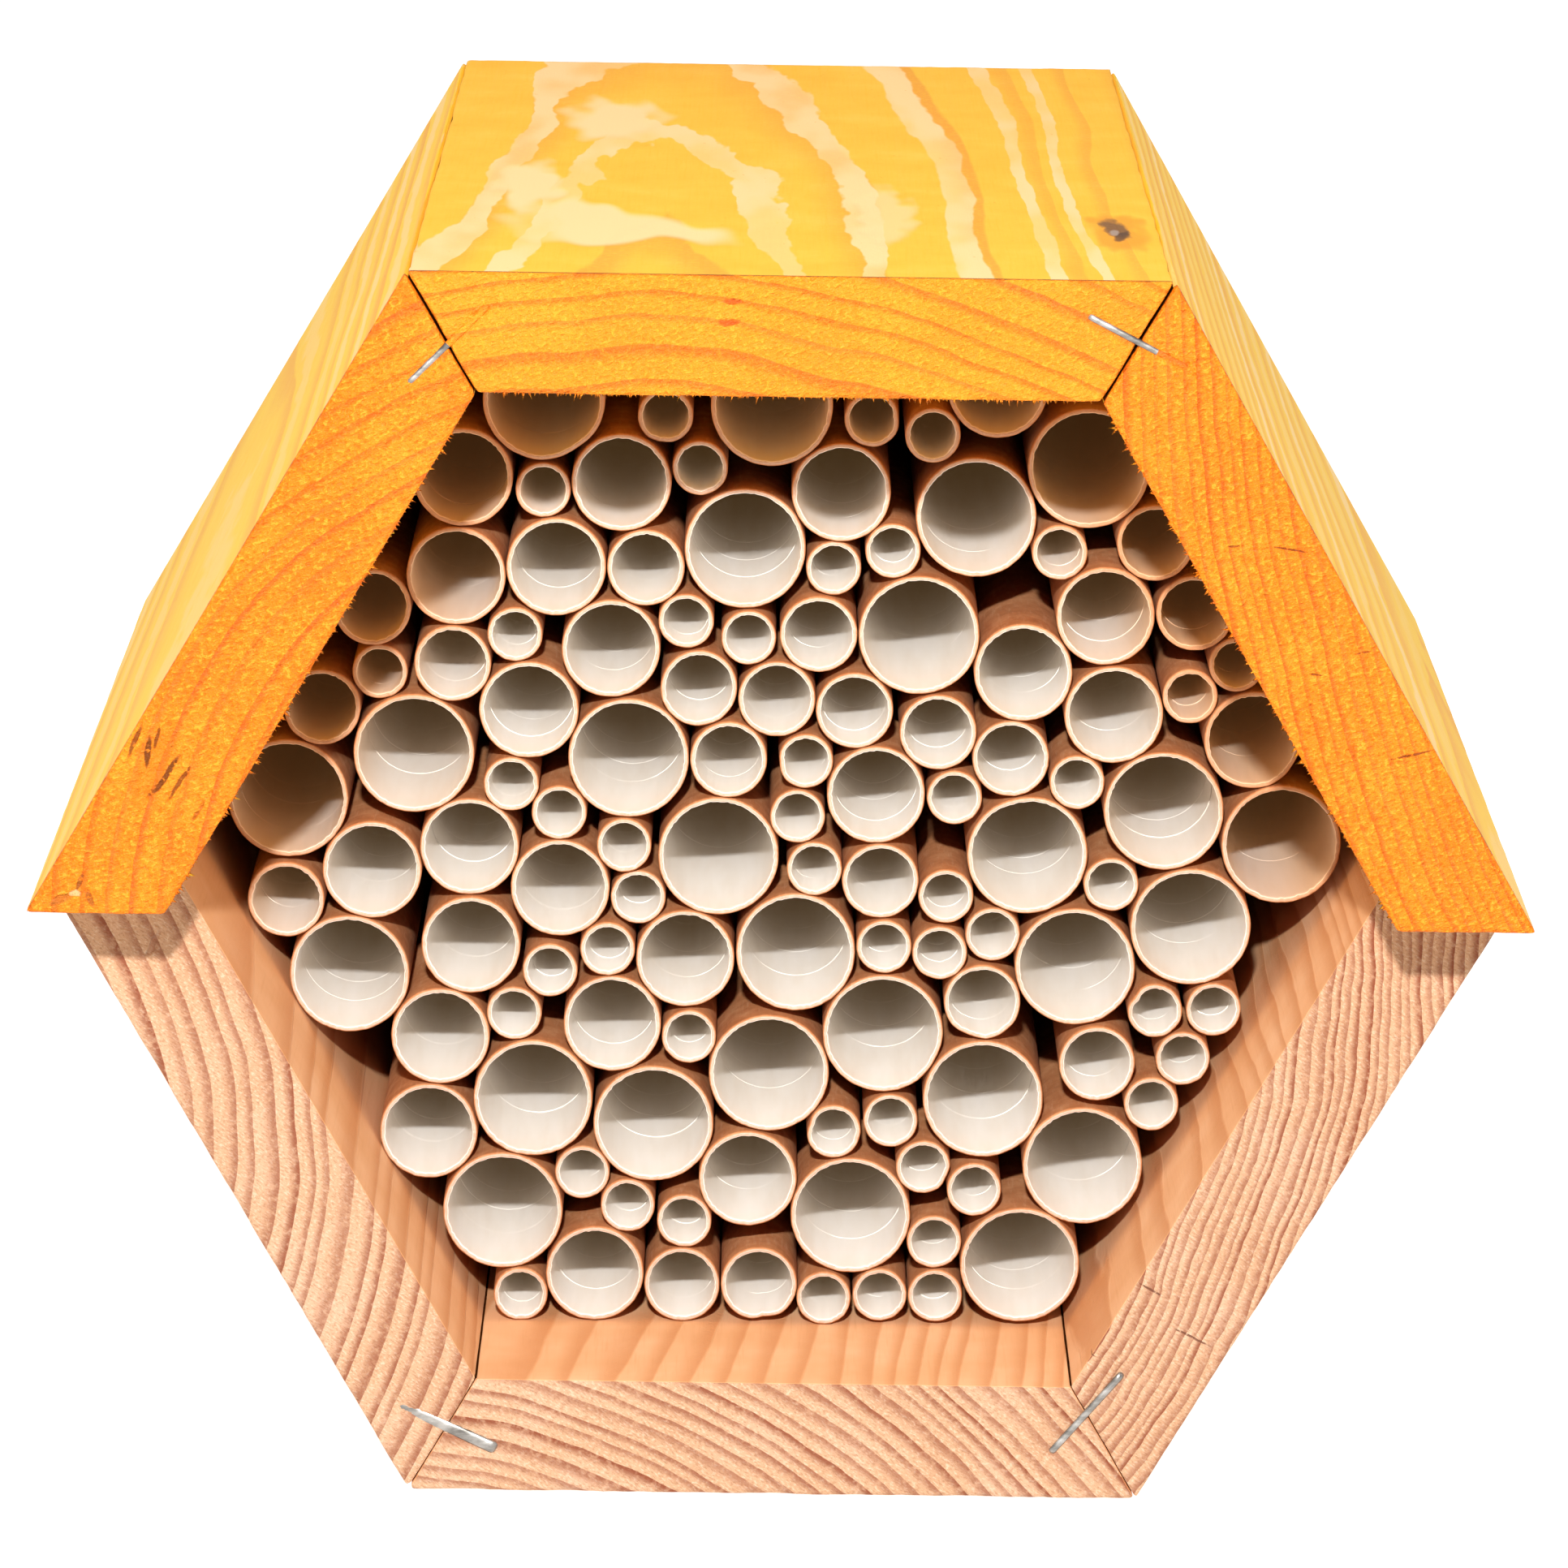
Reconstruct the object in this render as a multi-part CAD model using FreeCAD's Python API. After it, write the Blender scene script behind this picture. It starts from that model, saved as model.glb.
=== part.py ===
import FreeCAD, Part
import math
import os

# Hexagonal insect hotel: six mitred boards, a back panel and a packed bundle of paper tubes.
# Millimetres.  +Z up, the front faces -Y, +X to the right as seen from the front.
# The origin is on the surface it stands on, under the middle of the house.

# ---- frame of six boards ----
frame_side = 66.0         # outer side of the regular hexagon
board_thickness = 10.5
roof_depth = 135.0        # front to back, the three upper boards
porch_overhang = 16.0     # how far the roof boards stand in front of the others
edge_round = 0.6          # worn outer edges of the boards
mitre_gap = 0.1           # open joint between two boards

# ---- back ----
panel_thickness = 4.0
panel_inset = 3.0         # from the back edges of the boards to the panel
panel_play = 0.2          # around the panel

# ---- paper tubes ----
tube_bores = {"XL": 10.0, "L": 8.0, "M": 6.0, "S": 4.0}
tube_wall = 0.55
tube_recess = 18.5        # from the front of the lower boards to the tube ends
tube_gap = 0.04           # between tubes that touch
tube_end_play = 0.2       # between the tubes and the back panel
settle_drop = 0.4         # how far the planned bundle sinks as its tubes come to rest
settle_sweeps = 200
squeeze_limit = 1.5       # how far a planned place may reach into a board and still be used
near_limit = 4.0          # tubes further apart than this don't meet as they settle
overlap_limit = 0.01
fill_sizes = ["L", "M"]   # used where a wide hole is left
fill_step = 0.5
course_count = 4          # the bundle is kept in four courses, from the floor up

# ---- staples across the mitres ----
staple_crown = 10.2
staple_leg = 9.0
staple_wire = 1.1
rear_staple_inset = 6.0   # from the outer corner, along the mitre
fastener_play = 0.02      # around staples, brads and screws in the wood

# ---- brads through the lower boards into the panel ----
brad_diameter = 1.2
brad_length = 16.0
brad_spacing = 30.0
brad_sink = 0.3           # of the head below the board's outer face
brad_head_radius = 1.0
brad_head_height = 0.6

# ---- hanger ----
hanger_width = 34.0
hanger_height = 24.0
hanger_thickness = 1.0
hanger_corner = 3.0
hanger_drop = 31.0        # from the top board's outer face to the hanging hole
hanger_rise = 3.0         # of the plate's middle above the hanging hole
hanger_hole_radius = 4.0
hanger_slot_radius = 2.0
hanger_travel = 8.0       # from the hole up to the end of the slot
hanger_screw_spacing = 24.0
hanger_recess_play = 2.0  # around a wall screw's head, in the panel behind the plate
hanger_recess_depth = 3.0
screw_radius = 1.25
screw_head_radius = 2.6
screw_head_height = 1.4
screw_length = 4.2
screw_head_round = 0.8
screw_slot = 0.6

# ---- worked out ----
half_height = frame_side * math.sqrt(3) / 2
inner_side = frame_side - 2 * board_thickness / math.sqrt(3)
inner_apothem = half_height - board_thickness
front = -roof_depth / 2
back = roof_depth / 2
wall_front = front + porch_overhang
tube_front = wall_front + tube_recess
panel_back = back - panel_inset
panel_front = panel_back - panel_thickness
tube_length = panel_front - tube_end_play - tube_front
up = FreeCAD.Vector(0, 0, 1)
rearward = FreeCAD.Vector(0, 1, 0)

# Each board's middle lies at this angle round the hexagon, from +X towards +Z.
board_angles = {
    "wall_board_right": -30,
    "roof_board_right": 30,
    "roof_board_top": 90,
    "roof_board_left": 150,
    "wall_board_left": 210,
    "floor_board": 270,
}

corner_angles = range(0, 360, 60)

# Front staples: the mitre's angle round the hexagon, the crown's inset from the outer corner
# along the mitre, the crown's turn from level, anticlockwise seen from the front, and how far
# the crown stands out of the wood.
front_staples = {
    "front_staple_upper_left": (120, 7.3, 39, 0.0),
    "front_staple_upper_right": (60, 6.1, -21, 0.0),
    "front_staple_lower_left": (240, 6.9, -18, 0.15),
    "front_staple_lower_right": (300, 9.3, 44, 0.15),
}

size_words = {"XL": "widest", "L": "wide", "M": "narrow", "S": "narrowest"}

wall_normals = [(math.cos(math.radians(a)), math.sin(math.radians(a))) for a in board_angles.values()]

# How the tubes are laid, course by course from the floor board up: size, then the place of
# the tube's middle as millimetres to the right of the centre and above the floor board.
tube_plan = """
S -23.7 3.1   L -16.8 5.0   M -8.9 4.1    M -1.5 4.2    S 4.4 3.0     S 9.8 3.3
S 14.9 3.3    XL 22.7 6.4   XL -25.4 10.6 S -18 14.5    S -13.7 11.4  S -8.4 10.1
L -2.6 14.6   XL 6.8 11.1   S 14.7 8.5    S 13.5 15.5   S 18.3 13.6   XL 28.2 16.1
L -31.9 18.4  XL -22.4 21.7 XL -11.3 19.7 XL -1 24.3    S 5.2 19      S 10.5 20
XL 18.8 22.3  S 34.5 22     M 29.4 25.8   S 37.3 26.3   L -31 26.9    S -24.4 29.7
L -15.4 28.5  S -8.5 27.9   XL 9.6 28.4   M 18.7 31.6   S 34.6 30.9   S 40 31
XL -39 33.2   L -29 35.9    S -21 33.9    S -15.9 36.1  L -9 34.9     XL 1 35.7
S 9.1 36.8    S 14.4 36     S 19.4 37.6   XL 27.1 34.8  XL 37.7 38.8  M -45.2 40.2
L -37 43.2    L -28.2 44.8  L -20.1 41.4  S -13.2 40.7  XL -5.9 44.7  S 3.1 43.7
M 9.1 42.9    S 15.2 41.4   XL 22.6 45.3  S 30.3 42.7   XL 45.7 47    XL -44.8 49.5
S -24.9 51.1  S -20.4 48.5  S -14.6 45.7  S 1.4 48.6    L 8.6 50.8    S 15.8 50.7
S 27 52.3     XL 34.8 50    XL -32.8 53.3 L -23.3 58.1  XL -14.1 54   M -4.7 53.6
S 2.2 53.9    M 14.1 56.8   M 20.9 54.4   M -42 58.3    L 43.1 56.7   S -36.3 61.1
M -30 62.6    M -7.7 60.4   M -0.6 59.6   M 6.6 58.4    L 30.3 59     S 37.3 60.3
L -15.8 64.2  S -24.4 65.1  XL 12.7 65.7  L 22.2 62.5   M 3.3 65.6    S -3.2 65.3
S -8.9 66.8   S 41.4 63.7   M -37 67.2    L -29.7 70.5  L -20.9 71.5  M -12.9 71.7
L 29.5 68     M 37.4 68.2   XL -3.6 73.5  S 4.4 71.7    S 9.7 73.5    S 25 73.6
M 33.8 74.6   L -29.3 79.5  S -22 78.7    L -14.9 79.5  L 5 78.7      XL 17.4 76.8
S -7.8 81     XL 27.6 81.4  S 13.2 84.3   XL -22 87     XL -1.2 86.5  S -11 85.6
S 7.7 85.6    L 19 88.6
"""


def save(name, shape):
    """Write one node."""
    shape.exportStep(os.path.join("parts", name + ".step"))


def in_board(angle, along, across, y):
    """A point of a board's cross-section: along its length, and across from its outer face."""
    turn = math.radians(angle)
    out = half_height - across
    x = out * math.cos(turn) - along * math.sin(turn)
    z = out * math.sin(turn) + along * math.cos(turn)
    return FreeCAD.Vector(x, y, z + half_height)


def hexagon_prism(side, y_start, depth):
    """Six-sided prism round the house's axis, one side flat on the bottom."""
    corners = []
    for step in range(7):
        turn = math.radians(60 * step)
        corners.append(FreeCAD.Vector(side * math.cos(turn), y_start, half_height + side * math.sin(turn)))
    return Part.Face(Part.makePolygon(corners)).extrude(rearward * depth)


def is_roof(name):
    return name.startswith("roof")


def board(name):
    """One board, mitred at 60 degrees at both ends, with its outer edges worn round."""
    angle = board_angles[name]
    y_start = front if is_roof(name) else wall_front
    outer_half = frame_side / 2 - mitre_gap / 2
    inner_half = outer_half - board_thickness / math.sqrt(3)
    section = [
        in_board(angle, -outer_half, 0, y_start),
        in_board(angle, outer_half, 0, y_start),
        in_board(angle, inner_half, board_thickness, y_start),
        in_board(angle, -inner_half, board_thickness, y_start),
    ]
    face = Part.Face(Part.makePolygon(section + section[:1]))
    solid = face.extrude(rearward * (back - y_start))
    worn = [edge for edge in solid.Edges if is_outer_front_edge(edge, angle, y_start)]
    return solid.makeFillet(edge_round, worn)


def is_outer_front_edge(edge, angle, y_start):
    """True for the edge where a board's outer face meets its front face."""
    middle = edge.CenterOfMass
    wanted = in_board(angle, 0, 0, y_start)
    return middle.distanceToPoint(wanted) < edge_round / 2


# ---- the tube bundle ----

def tube_radius(size):
    return tube_bores[size] / 2 + tube_wall


def planned_tubes():
    """The plan as [x, z, size], measured from the middle of the house, where the frame has room."""
    words = tube_plan.split()
    tubes = []
    for size, x, above_floor in zip(words[0::3], words[1::3], words[2::3]):
        place = [float(x), float(above_floor) - inner_apothem]
        if wall_room(place, tube_radius(size)) > -squeeze_limit:
            tubes.append(place + [size])
    return tubes


def wall_room(place, radius):
    """Clearance from a tube to the nearest board; negative where it would cut into it."""
    reach = max(place[0] * nx + place[1] * nz for nx, nz in wall_normals)
    return inner_apothem - radius - tube_gap - reach


def pair_room(first, second):
    """Clearance between two tubes, past the gap that they keep."""
    apart = math.hypot(first[0] - second[0], first[1] - second[1])
    return apart - tube_radius(first[2]) - tube_radius(second[2]) - tube_gap


def push_apart(first, second):
    """Move two tubes that overlap away from each other, half each."""
    short = -pair_room(first, second)
    if short <= 0:
        return
    dx, dz = first[0] - second[0], first[1] - second[1]
    apart = math.hypot(dx, dz)
    for tube, way in ((first, 0.5), (second, -0.5)):
        tube[0] += way * short * dx / apart
        tube[1] += way * short * dz / apart


def push_inside(tube):
    """Move a tube that cuts into a board back inside the frame."""
    limit = inner_apothem - tube_radius(tube[2]) - tube_gap
    for nx, nz in wall_normals:
        over = tube[0] * nx + tube[1] * nz - limit
        if over > 0:
            tube[0] -= over * nx
            tube[1] -= over * nz


def near_pairs(tubes):
    """The pairs of tubes that are close enough to meet."""
    pairs = []
    for index, first in enumerate(tubes):
        for second in tubes[index + 1:]:
            if pair_room(first, second) < near_limit:
                pairs.append((first, second))
    return pairs


def settle(tubes, drop):
    """Let the bundle sink by up to this much, each tube resting on its neighbours."""
    pairs = near_pairs(tubes)
    for sweep in range(2 * settle_sweeps):
        for tube in tubes:
            if sweep < settle_sweeps:
                tube[1] -= drop / settle_sweeps
        for first, second in pairs:
            push_apart(first, second)
        for tube in tubes:
            push_inside(tube)


def tightest(tubes):
    """The tube with the least room, and that room."""
    worst = {}
    for index, first in enumerate(tubes):
        for other, second in enumerate(tubes[:index]):
            short = pair_room(first, second)
            worst[index] = min(worst.get(index, 0), short)
            worst[other] = min(worst.get(other, 0), short)
    index = min(worst, key=worst.get)
    return index, worst[index]


def fill_out(tubes):
    """Add tubes, largest first, wherever a hole in the bundle has room for one."""
    span = int(inner_side / fill_step)
    for size in fill_sizes:
        for row in range(-span, span + 1):
            for column in range(-span, span + 1):
                tube = [column * fill_step, row * fill_step, size]
                if wall_room(tube, tube_radius(size)) < 0:
                    continue
                if min(pair_room(tube, other) for other in tubes) > 0:
                    tubes.append(tube)


def lay_bundle():
    """The whole bundle: the planned tubes, settled, with any wide holes filled."""
    tubes = planned_tubes()
    sizes = sorted(tube_bores, key=tube_bores.get, reverse=True)
    settle(tubes, settle_drop)
    index, short = tightest(tubes)
    while short < -overlap_limit:
        size = tubes[index][2]
        if size == sizes[-1]:
            tubes.pop(index)
        else:
            tubes[index][2] = sizes[sizes.index(size) + 1]
        settle(tubes, 0)
        index, short = tightest(tubes)
    fill_out(tubes)
    return tubes


def tube(x, z, size):
    """One paper tube, open at both ends."""
    start = FreeCAD.Vector(x, tube_front, z + half_height)
    outside = Part.makeCylinder(tube_radius(size), tube_length, start, rearward)
    bore = Part.makeCylinder(tube_bores[size] / 2, tube_length, start, rearward)
    return outside.cut(bore)


def course_of(z):
    """Which course of the bundle a tube belongs to, from 1 at the floor."""
    share = (z + inner_apothem) / (2 * inner_apothem)
    return min(int(share * course_count), course_count - 1) + 1


def tube_groups():
    """The tubes, gathered by size and course: node name to a list of solids."""
    groups = {}
    for x, z, size in lay_bundle():
        name = "%s_tubes_course_%d" % (size_words[size], course_of(z))
        groups.setdefault(name, []).append(tube(x, z, size))
    return groups


# ---- fasteners ----

def corner_point(angle, inset, y):
    """A point on the mitre at this angle round the hexagon, inset from its outer corner."""
    turn = math.radians(angle)
    out = frame_side - inset
    return FreeCAD.Vector(out * math.cos(turn), y, half_height + out * math.sin(turn))


def staple(place, tilt, into, play):
    """A staple whose crown starts at this place, turned by tilt, with its legs going into the wood."""
    width = staple_wire + 2 * play
    crown = Part.makeBox(staple_crown + 2 * play, staple_leg + play, width)
    crown.translate(FreeCAD.Vector(-staple_crown / 2 - play, 0, -width / 2))
    between = Part.makeBox(staple_crown - 2 * staple_wire - 2 * play, staple_leg, width)
    between.translate(FreeCAD.Vector(-staple_crown / 2 + staple_wire + play, staple_wire + play, -width / 2))
    shape = crown.cut(between)
    if into.y < 0:
        shape = shape.mirror(FreeCAD.Vector(0, 0, 0), rearward)
    shape.rotate(FreeCAD.Vector(0, 0, 0), rearward, -tilt)
    shape.translate(place)
    return shape


def front_staple(name, play=0.0):
    angle, inset, tilt, stand = front_staples[name]
    face = front if "upper" in name else wall_front
    return staple(corner_point(angle, inset, face - stand), tilt, rearward, play)


def rear_staple(angle, play=0.0):
    """A staple square across one mitre at the back."""
    return staple(corner_point(angle, rear_staple_inset, back), angle + 90, -rearward, play)


def brad(angle, along, play=0.0):
    """A headed brad from a board's outer face, in through the board into the panel's edge."""
    y = (panel_front + panel_back) / 2
    start = in_board(angle, along, brad_sink, y)
    inward = (in_board(angle, along, 1.0 + brad_sink, y) - start).normalize()
    shank = Part.makeCylinder(brad_diameter / 2 + play, brad_length + play, start, inward)
    head = Part.makeCylinder(brad_head_radius + play, brad_head_height + play, start, inward)
    return shank.fuse(head)


def brad_places():
    names = [name for name in board_angles if not is_roof(name)]
    return [(board_angles[name], side * brad_spacing / 2) for name in names for side in (-1, 1)]


def brad_well(angle, along):
    """The hole that a brad's head leaves above itself in the board."""
    y = (panel_front + panel_back) / 2
    start = in_board(angle, along, -brad_sink, y)
    inward = (in_board(angle, along, 0, y) - start).normalize()
    return Part.makeCylinder(brad_head_radius + fastener_play, 2 * brad_sink, start, inward)


# ---- panel and hanger ----

def hanger_hole():
    """Middle of the hanging hole, on the back of the panel."""
    return FreeCAD.Vector(0, panel_back, 2 * half_height - hanger_drop)


def upright_slot(radius, travel, y_start, depth):
    """A round hole with a straight run above it, both of this radius."""
    low = hanger_hole()
    low.y = y_start
    high = low + up * travel
    slot = Part.makeCylinder(radius, depth, low, rearward)
    slot = slot.fuse(Part.makeCylinder(radius, depth, high, rearward))
    run = Part.makeBox(2 * radius, depth, travel)
    run.translate(low - FreeCAD.Vector(radius, 0, 0))
    return slot.fuse(run)


def screw_place(side):
    return hanger_hole() + FreeCAD.Vector(side * hanger_screw_spacing / 2, hanger_thickness, hanger_rise)


def hanger_screw(side, play=0.0):
    """A round-headed screw with a straight slot, through the plate into the panel."""
    top = screw_place(side)
    head = Part.makeCylinder(screw_head_radius, screw_head_height, top, rearward)
    outer_end = top.y + screw_head_height
    rim = [edge for edge in head.Edges if abs(edge.CenterOfMass.y - outer_end) < 1e-6]
    head = head.makeFillet(screw_head_round, rim)
    slot = Part.makeBox(2 * screw_head_radius, screw_slot, screw_slot)
    slot.translate(top + FreeCAD.Vector(-screw_head_radius, screw_head_height - screw_slot, -screw_slot / 2))
    shank = Part.makeCylinder(screw_radius + play, screw_length + play, top, -rearward)
    return head.cut(slot).fuse(shank)


def hanger_plate():
    """Flat steel plate with a keyhole: a round hole for the screw's head and a slot above it."""
    plate = Part.makeBox(hanger_width, hanger_thickness, hanger_height)
    middle = hanger_hole() + up * hanger_rise
    plate.translate(middle - FreeCAD.Vector(hanger_width / 2, 0, hanger_height / 2))
    corners = [edge for edge in plate.Edges if abs(edge.tangentAt(edge.FirstParameter).y) > 0.9]
    plate = plate.makeFillet(hanger_corner, corners)
    hole = Part.makeCylinder(hanger_hole_radius, hanger_thickness, hanger_hole(), rearward)
    plate = plate.cut(hole)
    plate = plate.cut(upright_slot(hanger_slot_radius, hanger_travel, panel_back, hanger_thickness))
    for side in (-1, 1):
        top = screw_place(side)
        plate = plate.cut(Part.makeCylinder(screw_radius + fastener_play, hanger_thickness, top, -rearward))
    return plate


def back_panel():
    """Thin panel inside the frame, hollowed behind the hanger for a wall screw's head."""
    side = inner_side - 2 * panel_play / math.sqrt(3)
    panel = hexagon_prism(side, panel_front, panel_thickness)
    recess_start = panel_back - hanger_recess_depth
    recess_radius = hanger_hole_radius + hanger_recess_play
    panel = panel.cut(upright_slot(recess_radius, hanger_travel, recess_start, hanger_recess_depth))
    for angle, along in brad_places():
        panel = panel.cut(brad(angle, along, fastener_play))
    for screw_side in (-1, 1):
        panel = panel.cut(hanger_screw(screw_side, fastener_play))
    return panel


def cut_for_fasteners(solid):
    """A board with the slots of its staples and the holes of its brads."""
    for name in front_staples:
        solid = solid.cut(front_staple(name, fastener_play))
    for angle in corner_angles:
        solid = solid.cut(rear_staple(angle, fastener_play))
    for angle, along in brad_places():
        solid = solid.cut(brad(angle, along, fastener_play))
        solid = solid.cut(brad_well(angle, along))
    return solid


def main():
    os.makedirs("parts", exist_ok=True)
    for name in board_angles:
        save(name, cut_for_fasteners(board(name)))
    for name in front_staples:
        save(name, front_staple(name))
    save("rear_staples", Part.makeCompound([rear_staple(angle) for angle in corner_angles]))
    save("panel_brads", Part.makeCompound([brad(angle, along) for angle, along in brad_places()]))
    save("back_panel", back_panel())
    save("hanger_plate", hanger_plate())
    save("hanger_screws", Part.makeCompound([hanger_screw(side) for side in (-1, 1)]))
    for name, tubes in tube_groups().items():
        save(name, Part.makeCompound(tubes))


main()
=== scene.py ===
import math
import random
from collections import namedtuple

import bpy
from mathutils import Matrix, Vector, noise


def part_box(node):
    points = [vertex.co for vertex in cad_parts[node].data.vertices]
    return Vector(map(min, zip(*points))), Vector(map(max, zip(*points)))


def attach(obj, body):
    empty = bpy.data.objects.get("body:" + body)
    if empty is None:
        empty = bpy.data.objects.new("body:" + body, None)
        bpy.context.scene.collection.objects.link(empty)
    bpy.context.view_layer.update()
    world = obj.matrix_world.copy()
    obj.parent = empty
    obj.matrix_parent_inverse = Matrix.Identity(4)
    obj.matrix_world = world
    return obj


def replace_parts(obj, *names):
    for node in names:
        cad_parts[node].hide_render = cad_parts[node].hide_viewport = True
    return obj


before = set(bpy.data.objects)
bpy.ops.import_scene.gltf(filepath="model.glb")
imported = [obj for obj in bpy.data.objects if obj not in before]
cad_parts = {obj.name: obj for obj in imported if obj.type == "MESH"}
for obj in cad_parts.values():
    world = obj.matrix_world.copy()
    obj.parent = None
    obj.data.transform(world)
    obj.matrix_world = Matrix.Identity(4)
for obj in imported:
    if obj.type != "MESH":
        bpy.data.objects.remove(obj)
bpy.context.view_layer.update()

MM = 0.001

# ---- sizes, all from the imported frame, in metres ----
HALF_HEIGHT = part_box("roof_board_top")[1].z / 2  # from the middle to a board's outer face
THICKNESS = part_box("floor_board")[1].z
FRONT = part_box("roof_board_top")[0].y
WALL_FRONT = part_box("floor_board")[0].y
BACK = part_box("roof_board_top")[1].y
BOARD_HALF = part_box("roof_board_top")[1].x  # half a board's length on its outer face
CENTRE = Vector((0, 0, HALF_HEIGHT))

# Where each board's middle lies round the hexagon, in degrees from +X towards +Z.
BOARD_ANGLES = {
    "roof_board_right": 30,
    "roof_board_top": 90,
    "roof_board_left": 150,
    "wall_board_left": 210,
    "floor_board": 270,
    "wall_board_right": 330,
}

Log = namedtuple("Log", "pith spacing wander lean late_start seed")
# The log that each board was cut from, in millimetres: its pith's place right of and above the
# house's middle, the spacing of the rings, how much they wander, and how much nearer to the pith
# they run at the back than at the front. Then the share of a ring at which its dark late wood
# starts, and a seed.
BOARD_LOGS = {
    "roof_board_top": Log((-13, -31), 2.5, 0.7, 1.6, 0.6, 3.1),
    "roof_board_left": Log((-10, -2), 2.4, 0.6, 0.8, 0.6, 11.7),
    "roof_board_right": Log((170, 58), 1.25, 0.5, 0.5, 0.5, 27.2),
    "wall_board_left": Log((-90, -25), 1.8, 0.5, 3.0, 0.3, 41.9),
    "floor_board": Log((-39, -112), 1.5, 0.6, -6.0, 0.3, 53.3),
    "wall_board_right": Log((-50, -3), 0.95, 0.9, 0.6, 0.15, 68.4),
}

# The broad pale rings on the top board's face: distance from the pith and half width, in millimetres.
PALE_RINGS = ((88.3, 0.2), (89.6, 0.27), (92.2, 0.5), (94.7, 0.3), (96.2, 0.25), (100.4, 0.3))
PALE_STAIN = "#FFD698"

# Pale patches, knots, streaks and cracks: the face they are on, their place right of the house's
# middle and above it (or behind it on the top), half length, half width and turn, in millimetres
# and degrees, then their colour and strength.
BOARD_MARKS = {
    "roof_board_top": [
        ("top", (-14.5, -40.0), 10.0, 8.5, 0, PALE_STAIN, 1.0),
        ("top", (-17.0, 27.0), 4.4, 14.0, 0, PALE_STAIN, 1.0),
        ("top", (-24.0, -18.0), 3.0, 16.0, 0, PALE_STAIN, 1.0),
        ("top", (8.5, -32.0), 2.6, 18.0, 0, PALE_STAIN, 0.7),
        ("top", (29.0, -40.0), 10.0, 2.6, 92, "#EE9A34", 0.75),
        ("top", (29.0, -38.0), 6.0, 1.1, 95, "#6E5240", 0.85),
        ("top", (29.4, -42.5), 3.0, 0.7, 80, "#5E4638", 0.8),
        ("top", (28.8, -40.5), 1.6, 0.35, 90, "#B09A8C", 0.8),
        ("front", (-5.0, 54.9), 0.9, 0.25, 0, "#B03C10", 0.7),
        ("front", (-5.2, 53.2), 1.0, 0.3, 8, "#B03C10", 0.7),
    ],
    "roof_board_left": [
        ("front", (-54.5, 13.6), 4.0, 1.7, 62, "#B86008", 0.5),
        ("front", (-56.3, 15.6), 1.6, 0.2, 68, "#6A3006", 0.85),
        ("front", (-55.2, 14.6), 1.5, 0.26, 80, "#5A2804", 0.9),
        ("front", (-54.4, 15.9), 1.0, 0.18, 75, "#6A3006", 0.85),
        ("front", (-53.6, 12.6), 2.2, 0.28, 55, "#5A2804", 0.9),
        ("front", (-52.4, 12.0), 1.9, 0.2, 58, "#6A3006", 0.85),
        ("front", (-54.7, 11.3), 0.8, 0.22, 50, "#7A3A08", 0.8),
        ("front", (-50.8, 9.4), 1.3, 0.18, 60, "#9A4A08", 0.75),
        ("front", (-45.6, 24.6), 0.8, 0.12, 52, "#A85408", 0.7),
        ("front", (-62.7, 1.4), 1.3, 0.35, 25, "#94581E", 0.6),
        ("front", (-61.2, 2.9), 0.9, 0.2, 70, "#6E3A14", 0.75),
        ("front", (-60.3, 1.5), 0.8, 0.25, 110, "#7C4216", 0.7),
        ("front", (-61.6, 1.9), 0.5, 0.3, 0, "#E8B884", 0.6),
    ],
    "roof_board_right": [
        ("front", (43.4, 34.0), 1.6, 0.10, -8, "#7A3508", 0.9),
        ("front", (47.6, 34.1), 0.5, 0.10, 0, "#7A3508", 0.8),
        ("front", (38.6, 34.2), 0.5, 0.10, 5, "#7A3508", 0.8),
        ("front", (54.6, 16.0), 1.9, 0.11, 14, "#7A3508", 0.9),
        ("front", (50.0, 25.0), 0.7, 0.10, 10, "#7A3508", 0.8),
        ("front", (46.0, 23.0), 0.6, 0.10, -5, "#7A3508", 0.8),
    ],
    "wall_board_right": [
        ("front", (37.8, -41.8), 1.8, 0.11, -27, "#5E3220", 0.85),
        ("front", (34.0, -37.4), 1.2, 0.10, -30, "#5E3220", 0.85),
        ("front", (28.0, -43.1), 1.2, 0.10, -29, "#5E3220", 0.85),
    ],
    "wall_board_left": [
        ("front", (-56.0, -6.5), 1.4, 0.3, 65, "#8A5038", 0.4),
    ],
}


def is_roof(name):
    return name.startswith("roof")


# ---- shader helpers ----

def rgb(code):
    """Linear colour from a six-digit sRGB code."""
    parts = [int(code[i:i + 2], 16) / 255 for i in (1, 3, 5)]
    linear = [p / 12.92 if p <= 0.04045 else ((p + 0.055) / 1.055) ** 2.4 for p in parts]
    return (*linear, 1.0)


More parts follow.
